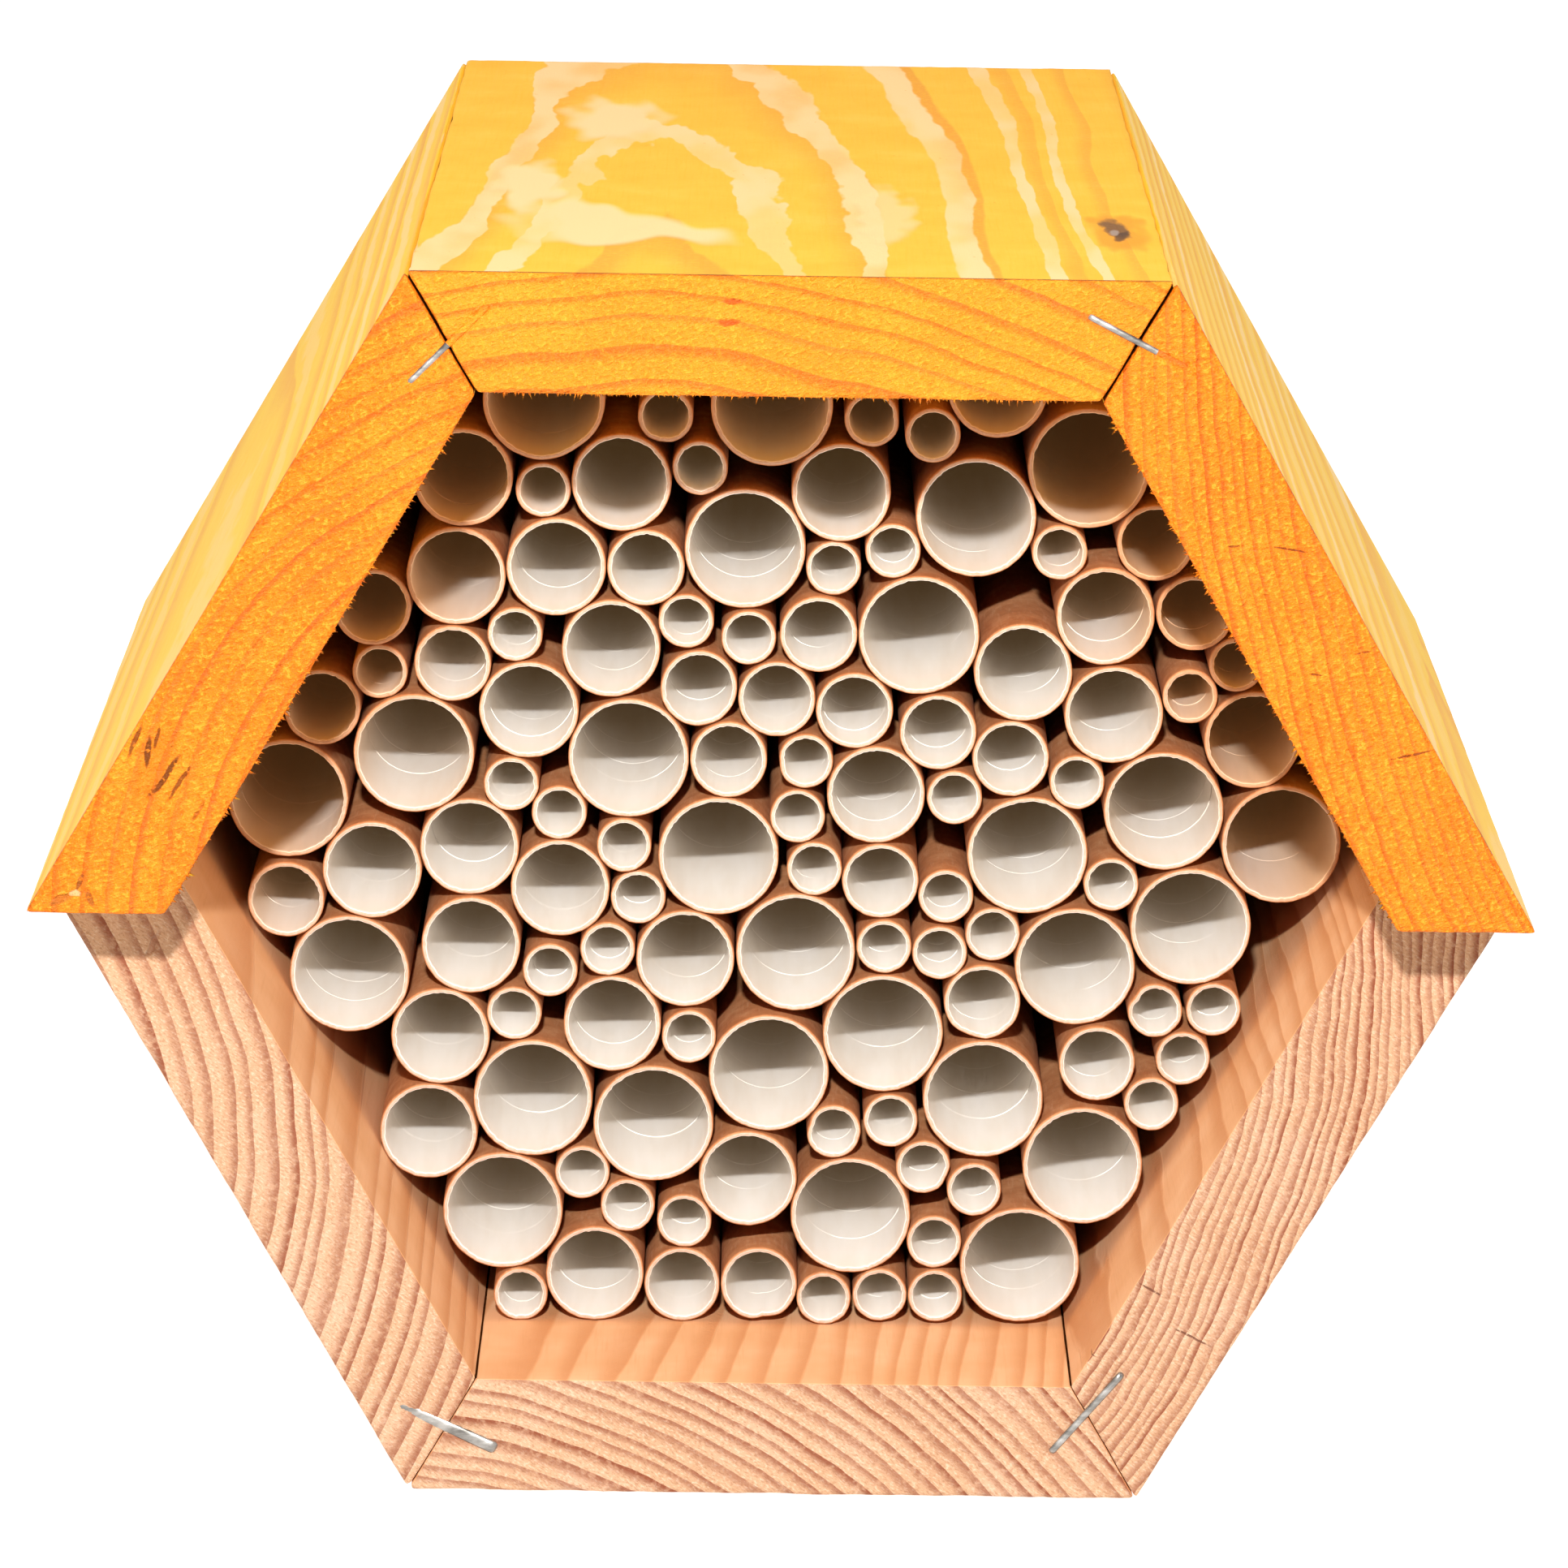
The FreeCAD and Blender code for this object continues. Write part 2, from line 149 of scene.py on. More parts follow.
class Shader:
    """A material's node tree, with short ways to add the nodes used here."""

    def __init__(self, name):
        self.material = bpy.data.materials.new(name)
        self.material.use_nodes = True
        self.tree = self.material.node_tree
        self.tree.nodes.clear()
        self.bsdf = self.tree.nodes.new("ShaderNodeBsdfPrincipled")
        output = self.tree.nodes.new("ShaderNodeOutputMaterial")
        self.tree.links.new(self.bsdf.outputs["BSDF"], output.inputs["Surface"])

    def feed(self, socket, value):
        """Set a socket's value, or link another node's output to it."""
        if isinstance(value, bpy.types.NodeSocket):
            self.tree.links.new(value, socket)
        elif value is not None:
            socket.default_value = value

    def place(self):
        """Position in millimetres, in the house's own frame."""
        coordinates = self.tree.nodes.new("ShaderNodeTexCoord")
        return self.vector("SCALE", coordinates.outputs["Object"], scale=1 / MM)

    def normal(self):
        return self.tree.nodes.new("ShaderNodeNewGeometry").outputs["Normal"]

    def drawn(self, vector, share):
        """The same place with its depth scaled, which draws a pattern out along the grain."""
        return self.vector("MULTIPLY", vector, (1, share, 1))

    def vector(self, operation, a, b=None, scale=None):
        node = self.tree.nodes.new("ShaderNodeVectorMath")
        node.operation = operation
        self.feed(node.inputs[0], a)
        self.feed(node.inputs[1], b)
        self.feed(node.inputs[3], scale)
        return node.outputs["Value" if operation in ("DOT_PRODUCT", "LENGTH") else "Vector"]

    def math(self, operation, a, b=None, c=None):
        node = self.tree.nodes.new("ShaderNodeMath")
        node.operation = operation
        for socket, value in zip(node.inputs, (a, b, c)):
            self.feed(socket, value)
        return node.outputs[0]

    def split(self, vector):
        node = self.tree.nodes.new("ShaderNodeSeparateXYZ")
        self.feed(node.inputs[0], vector)
        return node.outputs

    def join(self, x, y, z):
        node = self.tree.nodes.new("ShaderNodeCombineXYZ")
        for socket, value in zip(node.inputs, (x, y, z)):
            self.feed(socket, value)
        return node.outputs[0]

    def noise(self, vector, scale, detail=2.0, roughness=0.5, colour=False):
        """Noise from 0 to 1, with this many waves to a millimetre."""
        node = self.tree.nodes.new("ShaderNodeTexNoise")
        self.feed(node.inputs["Vector"], vector)
        node.inputs["Scale"].default_value = scale
        node.inputs["Detail"].default_value = detail
        node.inputs["Roughness"].default_value = roughness
        return node.outputs["Color" if colour else "Fac"]

    def stray(self, vector, scale, detail, roughness):
        """A noise vector, from -0.5 to 0.5 each way."""
        cloud = self.noise(vector, scale, detail, roughness, colour=True)
        return self.vector("SUBTRACT", cloud, (0.5, 0.5, 0.5))

    def cells(self, vector, scale):
        """Distance from the middle of the nearest cell."""
        node = self.tree.nodes.new("ShaderNodeTexVoronoi")
        self.feed(node.inputs["Vector"], vector)
        node.inputs["Scale"].default_value = scale
        return node.outputs["Distance"]

    def random(self, value):
        """A number from 0 to 1 that is the same for the same value."""
        node = self.tree.nodes.new("ShaderNodeTexWhiteNoise")
        node.noise_dimensions = "1D"
        self.feed(node.inputs["W"], value)
        return node.outputs["Value"]

    def step(self, value, low, high):
        """0 below low, 1 above high, smooth between (or the other way when low > high)."""
        node = self.tree.nodes.new("ShaderNodeMapRange")
        node.interpolation_type = "SMOOTHSTEP"
        self.feed(node.inputs["Value"], value)
        limits = (low, high, 0.0, 1.0) if low < high else (high, low, 1.0, 0.0)
        for socket, limit in zip(("From Min", "From Max", "To Min", "To Max"), limits):
            node.inputs[socket].default_value = limit
        return node.outputs["Result"]

    def mix(self, amount, a, b, blend="MIX"):
        node = self.tree.nodes.new("ShaderNodeMix")
        node.data_type = "RGBA"
        node.blend_type = blend
        self.feed(node.inputs[0], amount)
        self.feed(node.inputs[6], a)
        self.feed(node.inputs[7], b)
        return node.outputs[2]

    def tint(self, colour, mask, amount, code):
        """The colour, moved by this share towards another where the mask is 1."""
        return self.mix(self.math("MULTIPLY", mask, amount), colour, rgb(code))

    def ramp(self, value, stops):
        node = self.tree.nodes.new("ShaderNodeValToRGB")
        self.feed(node.inputs[0], value)
        elements = node.color_ramp.elements
        while len(elements) < len(stops):
            elements.new(0.5)
        for element, (position, colour) in zip(elements, stops):
            element.position = position
            element.color = rgb(colour)
        return node.outputs["Color"]

    def bump(self, height, strength, distance, under=None):
        """Normal of a relief this far from its lows to its highs, over another normal."""
        node = self.tree.nodes.new("ShaderNodeBump")
        node.inputs["Strength"].default_value = strength
        node.inputs["Distance"].default_value = distance
        self.feed(node.inputs["Height"], height)
        self.feed(node.inputs["Normal"], under)
        return node.outputs["Normal"]

    def finish(self, **inputs):
        """Set the surface's inputs and give the finished material."""
        for name, value in inputs.items():
            self.feed(self.bsdf.inputs[name.replace("_", " ")], value)
        return self.material


# ---- wood ----

Grain = namedtuple("Grain", "place seeded distance phase number end_grain")


def board_axes(name):
    """Unit vectors along a board's length and out of its outer face."""
    turn = math.radians(BOARD_ANGLES[name])
    along = Vector((-math.sin(turn), 0, math.cos(turn)))
    outward = Vector((math.cos(turn), 0, math.sin(turn)))
    return along, outward


def ring_bend(shader, seeded, wander):
    """How far a ring strays from a circle: a slow wide bend and a quick small one."""
    drawn_out = shader.drawn(seeded, 0.16)
    slow = shader.vector("SCALE", shader.stray(drawn_out, 0.045, 2.0, 0.5), scale=wander * 5.0)
    quick = shader.vector("SCALE", shader.stray(drawn_out, 0.33, 2.0, 0.55), scale=wander * 0.55)
    return shader.vector("ADD", slow, quick)


def read_grain(shader, log):
    """Where a point lies in its log: distance from the pith, ring number, and phase in the ring.

    The phase runs from 0 to 1 between dark lines. The end-grain mask is 1 on the sawn ends and
    on the torn fibres just behind the roof's front.
    """
    place = shader.place()
    y = shader.split(place)[1]
    seeded = shader.vector("ADD", place, (log.seed, log.seed * 2.3, log.seed * 0.7))
    pith = Vector((log.pith[0], 0, log.pith[1] + HALF_HEIGHT / MM))
    off_pith = shader.vector("SUBTRACT", place, pith)
    off_pith = shader.vector("ADD", off_pith, ring_bend(shader, seeded, log.wander))
    distance = shader.vector("LENGTH", shader.drawn(off_pith, 0))
    lean = shader.math("MULTIPLY", y, log.lean / (BACK - FRONT) * MM)
    distance = shader.math("ADD", distance, lean)
    rings = shader.math("DIVIDE", distance, log.spacing)
    uneven = shader.noise(shader.join(rings, log.seed, 0.0), 0.35, 1.0)
    rings = shader.math("MULTIPLY_ADD", uneven, 1.6, rings)
    phase = shader.math("FRACT", rings)
    number = shader.math("FLOOR", rings)
    facing = shader.math("ABSOLUTE", shader.split(shader.normal())[1])
    torn_edge = shader.step(y, FRONT / MM + 0.8, FRONT / MM + 0.5)
    end_grain = shader.math("MAXIMUM", shader.step(facing, 0.55, 0.8), torn_edge)
    return Grain(place, seeded, distance, phase, number, end_grain)


def ring_line(shader, grain, start):
    """Strength of the dark late wood: it grows from start and stops sharply at the next ring."""
    rise = shader.step(grain.phase, start, 0.93)
    fall = shader.step(grain.phase, 1.0, 0.96)
    line = shader.math("MULTIPLY", rise, fall)
    strength = shader.math("MULTIPLY_ADD", shader.random(grain.number), 0.45, 0.55)
    patchy = shader.step(shader.noise(grain.place, 1.6, 2.0, 0.6), 0.3, 0.55)
    broken = shader.math("MULTIPLY_ADD", patchy, 0.45, 0.55)
    return shader.math("MULTIPLY", shader.math("MULTIPLY", line, strength), broken)


def spot(shader, place, face, middle, length, width, turn):
    """Mask of a small ragged ellipse on the front or the top: 1 inside, 0 outside."""
    on_top = face == "top"
    angle = math.radians(turn)
    side = Vector((1, 0, 0))
    rise = Vector((0, 1, 0)) if on_top else Vector((0, 0, 1))
    inward = (0, 0, 1) if on_top else (0, 1, 0)
    along = side * math.cos(angle) + rise * math.sin(angle)
    across = rise * math.cos(angle) - side * math.sin(angle)
    offset = shader.vector("SUBTRACT", place, middle)
    small = min(length, width)
    drawn = shader.drawn(place, 0.3 if on_top else 1)
    ragged = shader.stray(drawn, min(0.9, 1.2 / small), 3.0 if small < 2 else 1.0, 0.5)
    ragged = shader.drawn(ragged, 3 if on_top else 1)
    reach = min(2 * small, 0.8) if small < 1 else 1.4 * small
    strayed = shader.vector("ADD", offset, shader.vector("SCALE", ragged, scale=reach))
    a = shader.math("DIVIDE", shader.vector("DOT_PRODUCT", strayed, along), length)
    b = shader.math("DIVIDE", shader.vector("DOT_PRODUCT", strayed, across), width)
    square = shader.math("ADD", shader.math("MULTIPLY", a, a), shader.math("MULTIPLY", b, b))
    depth = shader.math("ABSOLUTE", shader.vector("DOT_PRODUCT", offset, inward))
    mask = shader.math("MULTIPLY", shader.step(square, 1.4, 0.4), shader.step(depth, 2.0, 1.0))
    if small < 0.3:
        mask = shader.math("MULTIPLY", mask, shader.step(shader.noise(drawn, 2.2, 2.0), 0.70, 0.54))
    return mask


def add_marks(shader, name, place, colour):
    """Paint a board's patches, knots, streaks and cracks over its colour, and give their mask."""
    front = FRONT if is_roof(name) else WALL_FRONT
    marked = 0.0
    for face, (x, up), length, width, turn, tone, strength in BOARD_MARKS.get(name, []):
        if face == "top":
            middle = Vector((x, up, 2 * HALF_HEIGHT / MM))
        else:
            middle = Vector((x, front / MM, up + HALF_HEIGHT / MM))
        mask = spot(shader, place, face, middle, length, width, turn)
        colour = shader.tint(colour, mask, strength, tone)
        marked = shader.math("MAXIMUM", marked, mask)
    return colour, marked


def saw_texture(shader, seeded, lean, grain_share, fineness):
    """Height of the saw's marks on end grain: fine streaks that slant, and rounder grains."""
    angle = math.radians(lean)
    run = shader.vector("DOT_PRODUCT", seeded, Vector((math.cos(angle), 0, math.sin(angle))))
    aside = shader.vector("DOT_PRODUCT", seeded, Vector((-math.sin(angle), 0, math.cos(angle))))
    stretched = shader.join(shader.math("MULTIPLY", run, 0.4), aside, 0.0)
    streaks = shader.noise(stretched, 3.6 * fineness, 2.0, 0.6)
    grains = shader.noise(seeded, 2.6 * fineness, 2.0, 0.6)
    return shader.math("ADD", shader.math("MULTIPLY", streaks, 1 - grain_share),
                       shader.math("MULTIPLY", grains, grain_share))


def fibre_texture(shader, seeded):
    """Height of the planed fibres on the long faces, drawn out along the grain."""
    return shader.noise(shader.drawn(seeded, 0.035), 3.4, 3.0, 0.6)


def wood_relief(shader, grain, saw, fibre, sunk, saw_relief, line_relief):
    """Normal with the saw's marks on the ends, fibres on the faces, and sunk marks.

    A relief is the strength and the distance of its bump.
    """
    on_faces = shader.math("SUBTRACT", 1.0, grain.end_grain)
    normal = shader.bump(shader.math("MULTIPLY", saw, grain.end_grain), *saw_relief)
    normal = shader.bump(shader.math("MULTIPLY", fibre, on_faces), 0.25, 0.1 * MM, normal)
    return shader.bump(sunk, *line_relief, normal)


def ragged_edge(shader, seeded):
    """A slow stray from -0.5 to 0.5, drawn out along the grain."""
    return shader.math("SUBTRACT", shader.noise(shader.drawn(seeded, 0.3), 0.3, 3.0, 0.5), 0.5)


def pale_figure(shader, grain):
    """Strength of the broad pale rings on the top board's face, faded in places."""
    strayed = shader.math("MULTIPLY_ADD", ragged_edge(shader, grain.seeded), 0.5, grain.distance)
    figure = 0.0
    for ring, half_width in PALE_RINGS:
        off = shader.math("ABSOLUTE", shader.math("SUBTRACT", strayed, ring))
        figure = shader.math("MAXIMUM", figure, shader.step(off, half_width, half_width * 0.82))
    faded = shader.step(shader.noise(shader.drawn(grain.seeded, 0.3), 0.14, 2.0), 0.35, 0.6)
    return shader.math("MULTIPLY", shader.math("MULTIPLY_ADD", faded, 0.45, 0.5), figure)


def pale_bands(shader, grain):
    """Strength of the pale early wood between dark lines, by chance stronger in some rings."""
    strayed = shader.math("MULTIPLY_ADD", ragged_edge(shader, grain.seeded), 0.4, grain.phase)
    band = shader.math("MULTIPLY", shader.step(strayed, 0.10, 0.16), shader.step(strayed, 0.50, 0.40))
    chance = shader.random(shader.math("ADD", grain.number, 5.0))
    return shader.math("MULTIPLY", band, shader.math("MULTIPLY_ADD", chance, 0.7, 0.15))


def stained_end(shader, is_top, grain, saw, late, cloud):
    """Deep orange end grain with redder late wood."""
    deep = shader.ramp(cloud, [(0.3, "#DA6C0E"), (0.5, "#DF7411"), (0.7, "#E47E18")])
    deep = shader.tint(deep, shader.step(saw, 0.52, 0.62), 0.6, "#EE9E2C")
    deep = shader.tint(deep, shader.step(saw, 0.48, 0.38), 0.6, "#C45A06")
    if is_top:
        deep = shader.mix(0.3, deep, rgb("#EC9A28"))
    shade = shader.random(shader.math("ADD", grain.number, 17.0))
    line = shader.mix(shade, rgb("#AC3E06"), rgb("#BA4E20"))
    return shader.mix(shader.math("MULTIPLY", late, 0.7), deep, line)


def stained_face(shader, is_top, grain, fibre, late, cloud):
    """Bright yellow faces, paler where the early wood is broad, with small dark pits."""
    bright = shader.ramp(cloud, [(0.3, "#FFBC3E"), (0.55, "#FFC244"), (0.75, "#FFC850")])
    # The side boards' faces are made yellower and lighter than the top's to make up for the dimmer light
    # on them: painted light.
    if not is_top:
        bright = shader.mix(0.6, bright, rgb("#FFD02E"))
    bright = shader.tint(bright, shader.step(fibre, 0.45, 0.75), 0.2, "#FFAE1C")
    bright = shader.tint(bright, late, 0.75, "#F29A3C")
    pale = pale_figure(shader, grain) if is_top else pale_bands(shader, grain)
    bright = shader.mix(pale, bright, rgb(PALE_STAIN))
    pits = shader.noise(shader.drawn(grain.seeded, 0.35), 2.1, 2.0, 0.5)
    return shader.tint(bright, shader.step(pits, 0.70, 0.78), 0.35, "#DE9A2E")


def stained_wood(name):
    """Softwood under a translucent yellow stain: deep orange on end grain, bright on the faces."""
    shader = Shader("stained_" + name)
    is_top = name == "roof_board_top"
    log = BOARD_LOGS[name]
    grain = read_grain(shader, log)
    late = ring_line(shader, grain, log.late_start)
    saw = saw_texture(shader, grain.seeded, 20, 0.5, 1.0)
    fibre = fibre_texture(shader, grain.seeded)
    cloud = shader.noise(grain.seeded, 0.12, 3.0, 0.6)

    face = stained_face(shader, is_top, grain, fibre, late, cloud)
    end = stained_end(shader, is_top, grain, saw, late, cloud)
    colour = shader.mix(grain.end_grain, face, end)
    colour, marked = add_marks(shader, name, grain.place, colour)

    rough = shader.math("MULTIPLY_ADD", saw, 0.25, 0.30)
    sheen = shader.math("MULTIPLY_ADD", grain.end_grain, 0.12, 0.02)
    sunk = shader.math("MULTIPLY_ADD", marked, -2.0, late)
    normal = wood_relief(shader, grain, saw, fibre, sunk, (0.85, 0.7 * MM), (0.4, 0.1 * MM))
    return shader.finish(Base_Color=colour, Roughness=rough, Normal=normal, Specular_IOR_Level=sheen)


def plain_wood(name):
    """Natural softwood: peach end grain with thin brown rings, smooth tan faces."""
    shader = Shader("plain_" + name)
    log = BOARD_LOGS[name]
    grain = read_grain(shader, log)
    late = ring_line(shader, grain, log.late_start)
    saw = saw_texture(shader, grain.seeded, -35, 0.35, 1.5)
    fibre = fibre_texture(shader, grain.seeded)
    cloud = shader.noise(grain.seeded, 0.10, 3.0, 0.6)

    peach = shader.ramp(cloud, [(0.3, "#B88C6A"), (0.5, "#BF9472"), (0.7, "#C59C7E")])
    peach = shader.tint(peach, shader.step(saw, 0.52, 0.62), 0.8, "#CFAE92")
    peach = shader.tint(peach, shader.step(saw, 0.48, 0.38), 0.6, "#A07452")
    peach = shader.mix(late, peach, rgb("#7C3C22"))

    tan = shader.ramp(cloud, [(0.3, "#E2AC7C"), (0.5, "#E8B486"), (0.7, "#EDBE93")])
    rise = shader.step(grain.phase, 0.25, 0.95)
    fall = shader.step(grain.phase, 1.0, 0.9)
    tan = shader.tint(tan, shader.math("MULTIPLY", rise, fall), 0.65, "#C88450")
    tan = shader.tint(tan, shader.step(fibre, 0.5, 0.8), 0.3, "#D0945F")

    colour = shader.mix(grain.end_grain, tan, peach)
    colour, marked = add_marks(shader, name, grain.place, colour)

    rough = shader.math("MULTIPLY_ADD", saw, 0.15, 0.5)
    sunk = shader.math("MULTIPLY_ADD", marked, -2.0, late)
    normal = wood_relief(shader, grain, saw, fibre, sunk, (0.55, 0.4 * MM), (0.5, 0.12 * MM))
    return shader.finish(Base_Color=colour, Roughness=rough, Normal=normal, Specular_IOR_Level=0.2)


def mitre_shade():
    """Raw wood painted dark brown: painted shade for the dark inside a joint, seen only through the gap.
    """
    shader = Shader("mitre_shade")
    grain = shader.noise(shader.place(), 1.5, 3.0, 0.6)
    colour = shader.ramp(grain, [(0.3, "#3A1C08"), (0.7, "#5C3012")])
    return shader.finish(Base_Color=colour, Roughness=0.9, Specular_IOR_Level=0.0)


# ---- boards ----

# Stations near a board's long edges and near its ends: they are close where the edge is worn.
EDGE_STEPS = [s * MM for s in (0, 0.12, 0.27, 0.45, 0.7, 1.0)]
END_STEPS = [s * MM for s in (0, 0.12, 0.27, 0.5, 0.9, 1.6, 3.0)]
FINE = 0.45 * MM  # widest gap between stations across a board's ends
COARSE = 4.0 * MM  # and along its depth
GROOVE_DEPTH = 0.27 * MM
GROOVE_HALF = 0.75 * MM
GROOVE_RISE = 0.6 * MM  # over which a groove comes up to the face at its two ends
GROOVE_REACH = 2 * MM  # how deep behind an end the wood moves with a groove
JOINT_EDGE = 0.4 * MM  # width of a mitre's edge that is worn and shows its board's finish
EDGE_RADIUS = 0.42 * MM  # of a worn edge, on average
CHIPPED = 0.30 * MM  # how far long chips change it
NICKED = 0.18 * MM  # and short nicks
LEAST_RADIUS = 0.12 * MM
MOST_RADIUS = 0.9 * MM
ROOF_GAP = 0.07 * MM  # mean gap that a board leaves on its side of a mitre
WALL_GAP = 0.02 * MM
SAWN_ROUGH = 0.05 * MM  # mean depth of the sawn ends' waves
SPLINTERS = 340
LONGEST_SPLINTER = 0.75  # in millimetres
MEAN_SPLINTER = 0.16
ROOTED = 0.15 * MM  # how far a splinter starts inside the wood


def stations(length, fine, edge_steps):
    """Places from 0 to length: close together near both ends, at most fine apart between."""
    first, last = edge_steps[-1], length - edge_steps[-1]
    count = max(1, math.ceil((last - first) / fine))
    middle = [first + (last - first) * i / count for i in range(1, count)]
    return edge_steps + middle + [length - step for step in reversed(edge_steps)]


def lattice_shell(us, vs, ws):
    """Points and faces of the outside of a box-shaped lattice; a point is its three stations."""
    index = {}
    faces = []

    def quad(*corners):
        faces.append([index.setdefault(corner, len(index)) for corner in corners])

    nu, nv, nw = len(us) - 1, len(vs) - 1, len(ws) - 1
    for i in range(nu):
        for j in range(nv):
            quad((i, j, 0), (i + 1, j, 0), (i + 1, j + 1, 0), (i, j + 1, 0))
            quad((i, j, nw), (i, j + 1, nw), (i + 1, j + 1, nw), (i + 1, j, nw))
    for i in range(nu):
        for k in range(nw):
            quad((i, 0, k), (i, 0, k + 1), (i + 1, 0, k + 1), (i + 1, 0, k))
            quad((i, nv, k), (i + 1, nv, k), (i + 1, nv, k + 1), (i, nv, k + 1))
    for j in range(nv):
        for k in range(nw):
            quad((0, j, k), (0, j + 1, k), (0, j + 1, k + 1), (0, j, k + 1))
            quad((nu, j, k), (nu, j, k + 1), (nu, j + 1, k + 1), (nu, j + 1, k))
    points = [(us[i], vs[j], ws[k]) for i, j, k in index]
    return points, faces


def rounded(point, size, radius):
    """Pull a point of a box's skin onto the same box with its edges rounded to this radius."""
    core = [min(max(p, radius), s - radius) for p, s in zip(point, size)]
    away = Vector([p - c for p, c in zip(point, core)])
    if away.length < 1e-9:
        return Vector(point)
    return Vector(core) + away.normalized() * min(away.length, radius)


def make_object(name, points, faces, materials):
    mesh = bpy.data.meshes.new(name)
    mesh.from_pydata(points, [], faces)
    mesh.validate()
    mesh.update()
    mesh.polygons.foreach_set("use_smooth", [True] * len(mesh.polygons))
    for material in materials:
        mesh.materials.append(material)
    piece = bpy.data.objects.new(name, mesh)
    bpy.context.scene.collection.objects.link(piece)
    return piece


def in_joint(corners, length):
    """True for a face of a board's mitre that lies against the next board, behind its worn edge."""
    if not (all(u == 0 for u, v, w in corners) or all(u == length for u, v, w in corners)):
        return False
    return min(w for u, v, w in corners) > JOINT_EDGE and min(v for u, v, w in corners) > JOINT_EDGE


def worn(name, point, size):
    """A point of a board after wear, as its place across, inward from the face and behind the front."""
    length, thickness, depth = size
    seed = Vector((BOARD_LOGS[name].seed, 0, 7))
    spot_on = Vector(point) / MM
    chip = noise.noise(spot_on * 0.22 + seed)
    fine = noise.noise(spot_on * 0.9 + seed * 2)
    radius = EDGE_RADIUS + CHIPPED * chip + NICKED * fine
    radius = min(max(radius, LEAST_RADIUS), MOST_RADIUS)
    if point[1] > thickness / 2 and not is_roof(name):
        radius *= 0.5
    u, v, w = rounded(point, size, radius)
    mitred = 1 - v / math.sqrt(3) / BOARD_HALF
    across = (u - BOARD_HALF) * mitred
    if point[0] in (0, length):
        gap = ROOF_GAP if is_roof(name) else WALL_GAP
        gap *= 1 + noise.noise(spot_on * 0.35 + seed * 5)
        across -= math.copysign(gap, across)
    rough = SAWN_ROUGH * (1 + noise.noise(spot_on * 1.7 + seed * 3))
    if point[2] == 0:
        w += rough
    elif point[2] == depth:
        w -= rough
    return across, v, w


def make_board(name, material, joint_shade_material, front_grooves, rear_grooves):
    """One mitred board with worn, chipped edges and grooves where the staples press in."""
    along, outward = board_axes(name)
    start = FRONT if is_roof(name) else WALL_FRONT
    size = (2 * BOARD_HALF, THICKNESS, BACK - start)
    length, thickness, depth = size
    us = stations(length, FINE, EDGE_STEPS)
    vs = stations(thickness, FINE, EDGE_STEPS)
    ws = stations(depth, COARSE, END_STEPS)
    points, faces = lattice_shell(us, vs, ws)
    placed = []
    for point in points:
        across, inward, behind = worn(name, point, size)
        place = CENTRE + along * across + outward * (HALF_HEIGHT - inward)
        place.y = start + behind
        if point[2] < GROOVE_REACH:
            place.y += groove_at(place, front_grooves)
        elif point[2] > depth - GROOVE_REACH:
            place.y -= groove_at(place, rear_grooves)
        placed.append(place)
    joints = [in_joint([points[index] for index in face], length) for face in faces]
    if is_roof(name):
        add_splinters(placed, faces, along, outward, start, random.Random(name))
    piece = make_object(name + "_wood", placed, faces, [material, joint_shade_material])
    # The roof's lower mitres stand free in front of the walls, and are stained there.
    # Faces deep inside a joint take the dark material of painted shade.
    for polygon, joint in zip(piece.data.polygons, joints):
        upper = polygon.center.z > CENTRE.z + THICKNESS
        if joint and (upper or polygon.center.y > WALL_FRONT + MM):
            polygon.material_index = 1
    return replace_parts(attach(piece, "root"), name)


def add_splinters(points, faces, along, outward, start, rng):
    """Torn fibres along the front edge of a board's inner face, each a thin pyramid."""
    half = BOARD_HALF - THICKNESS / math.sqrt(3)
    for _ in range(SPLINTERS):
        run = rng.uniform(-0.97, 0.97) * half
        length = min(rng.expovariate(1 / MEAN_SPLINTER), LONGEST_SPLINTER) * MM
        width = rng.uniform(0.08, 0.28) * MM
        root = CENTRE + along * run + outward * (HALF_HEIGHT - THICKNESS + ROOTED)
        root.y = start + width + rng.uniform(0.1, 0.5) * MM
        tip = root - outward * (ROOTED + length) + along * (rng.uniform(-0.5, 0.5) * length)
        tip.y += rng.uniform(-0.2, 0.4) * length
        tip.y = max(tip.y, start)
        a = len(points)
        b, c, top = a + 1, a + 2, a + 3
        half_back = along * (width / 2)
        points.append(root + along * width)
        points.append(root + Vector((0, width, 0)) - half_back)
        points.append(root - Vector((0, width, 0)) - half_back)
        points.append(tip)
        faces.extend([[a, b, top], [b, c, top], [c, a, top], [c, b, a]])


def groove_at(place, grooves):
    """How far the wood is pressed in by a staple near this place."""
    deepest = 0
    for middle, direction, half_length in grooves:
        offset = Vector((place.x - middle.x, 0, place.z - middle.z))
        run = offset.dot(direction)
        aside = (offset - direction * run).length
        if abs(run) < half_length + GROOVE_HALF and aside < GROOVE_HALF:
            ends = min(1, (half_length + GROOVE_HALF - abs(run)) / GROOVE_RISE)
            sides = 1 - (aside / GROOVE_HALF) ** 2
            deepest = max(deepest, GROOVE_DEPTH * ends * sides)
    return deepest


# ---- staples ----

WIRE_HEIGHT = 0.55 * MM
WIRE_SUNK = 0.35 * MM  # from the wood's face to the wire's middle
WIRE_SIDES = 10  # points round the wire
WIRE_SQUARENESS = 0.6  # 1 for an oval section, near 0 for a rectangle
WIRE_BEND = 0.45 * MM  # radius where the crown turns into a leg
LEG_STEPS = 6
BEND_STEPS = 5
CROWN_STEPS = 24
CROWN_BAND = 0.3 * MM  # points of the CAD staple this near its outermost are its crown's
SHORTER_CROWN = 0.3 * MM  # how far each end of the crown stays inside the CAD staple
SHORTER_LEG = 1.0 * MM
BARE = 2.0  # a place along the crown past its end: no stain on the wire


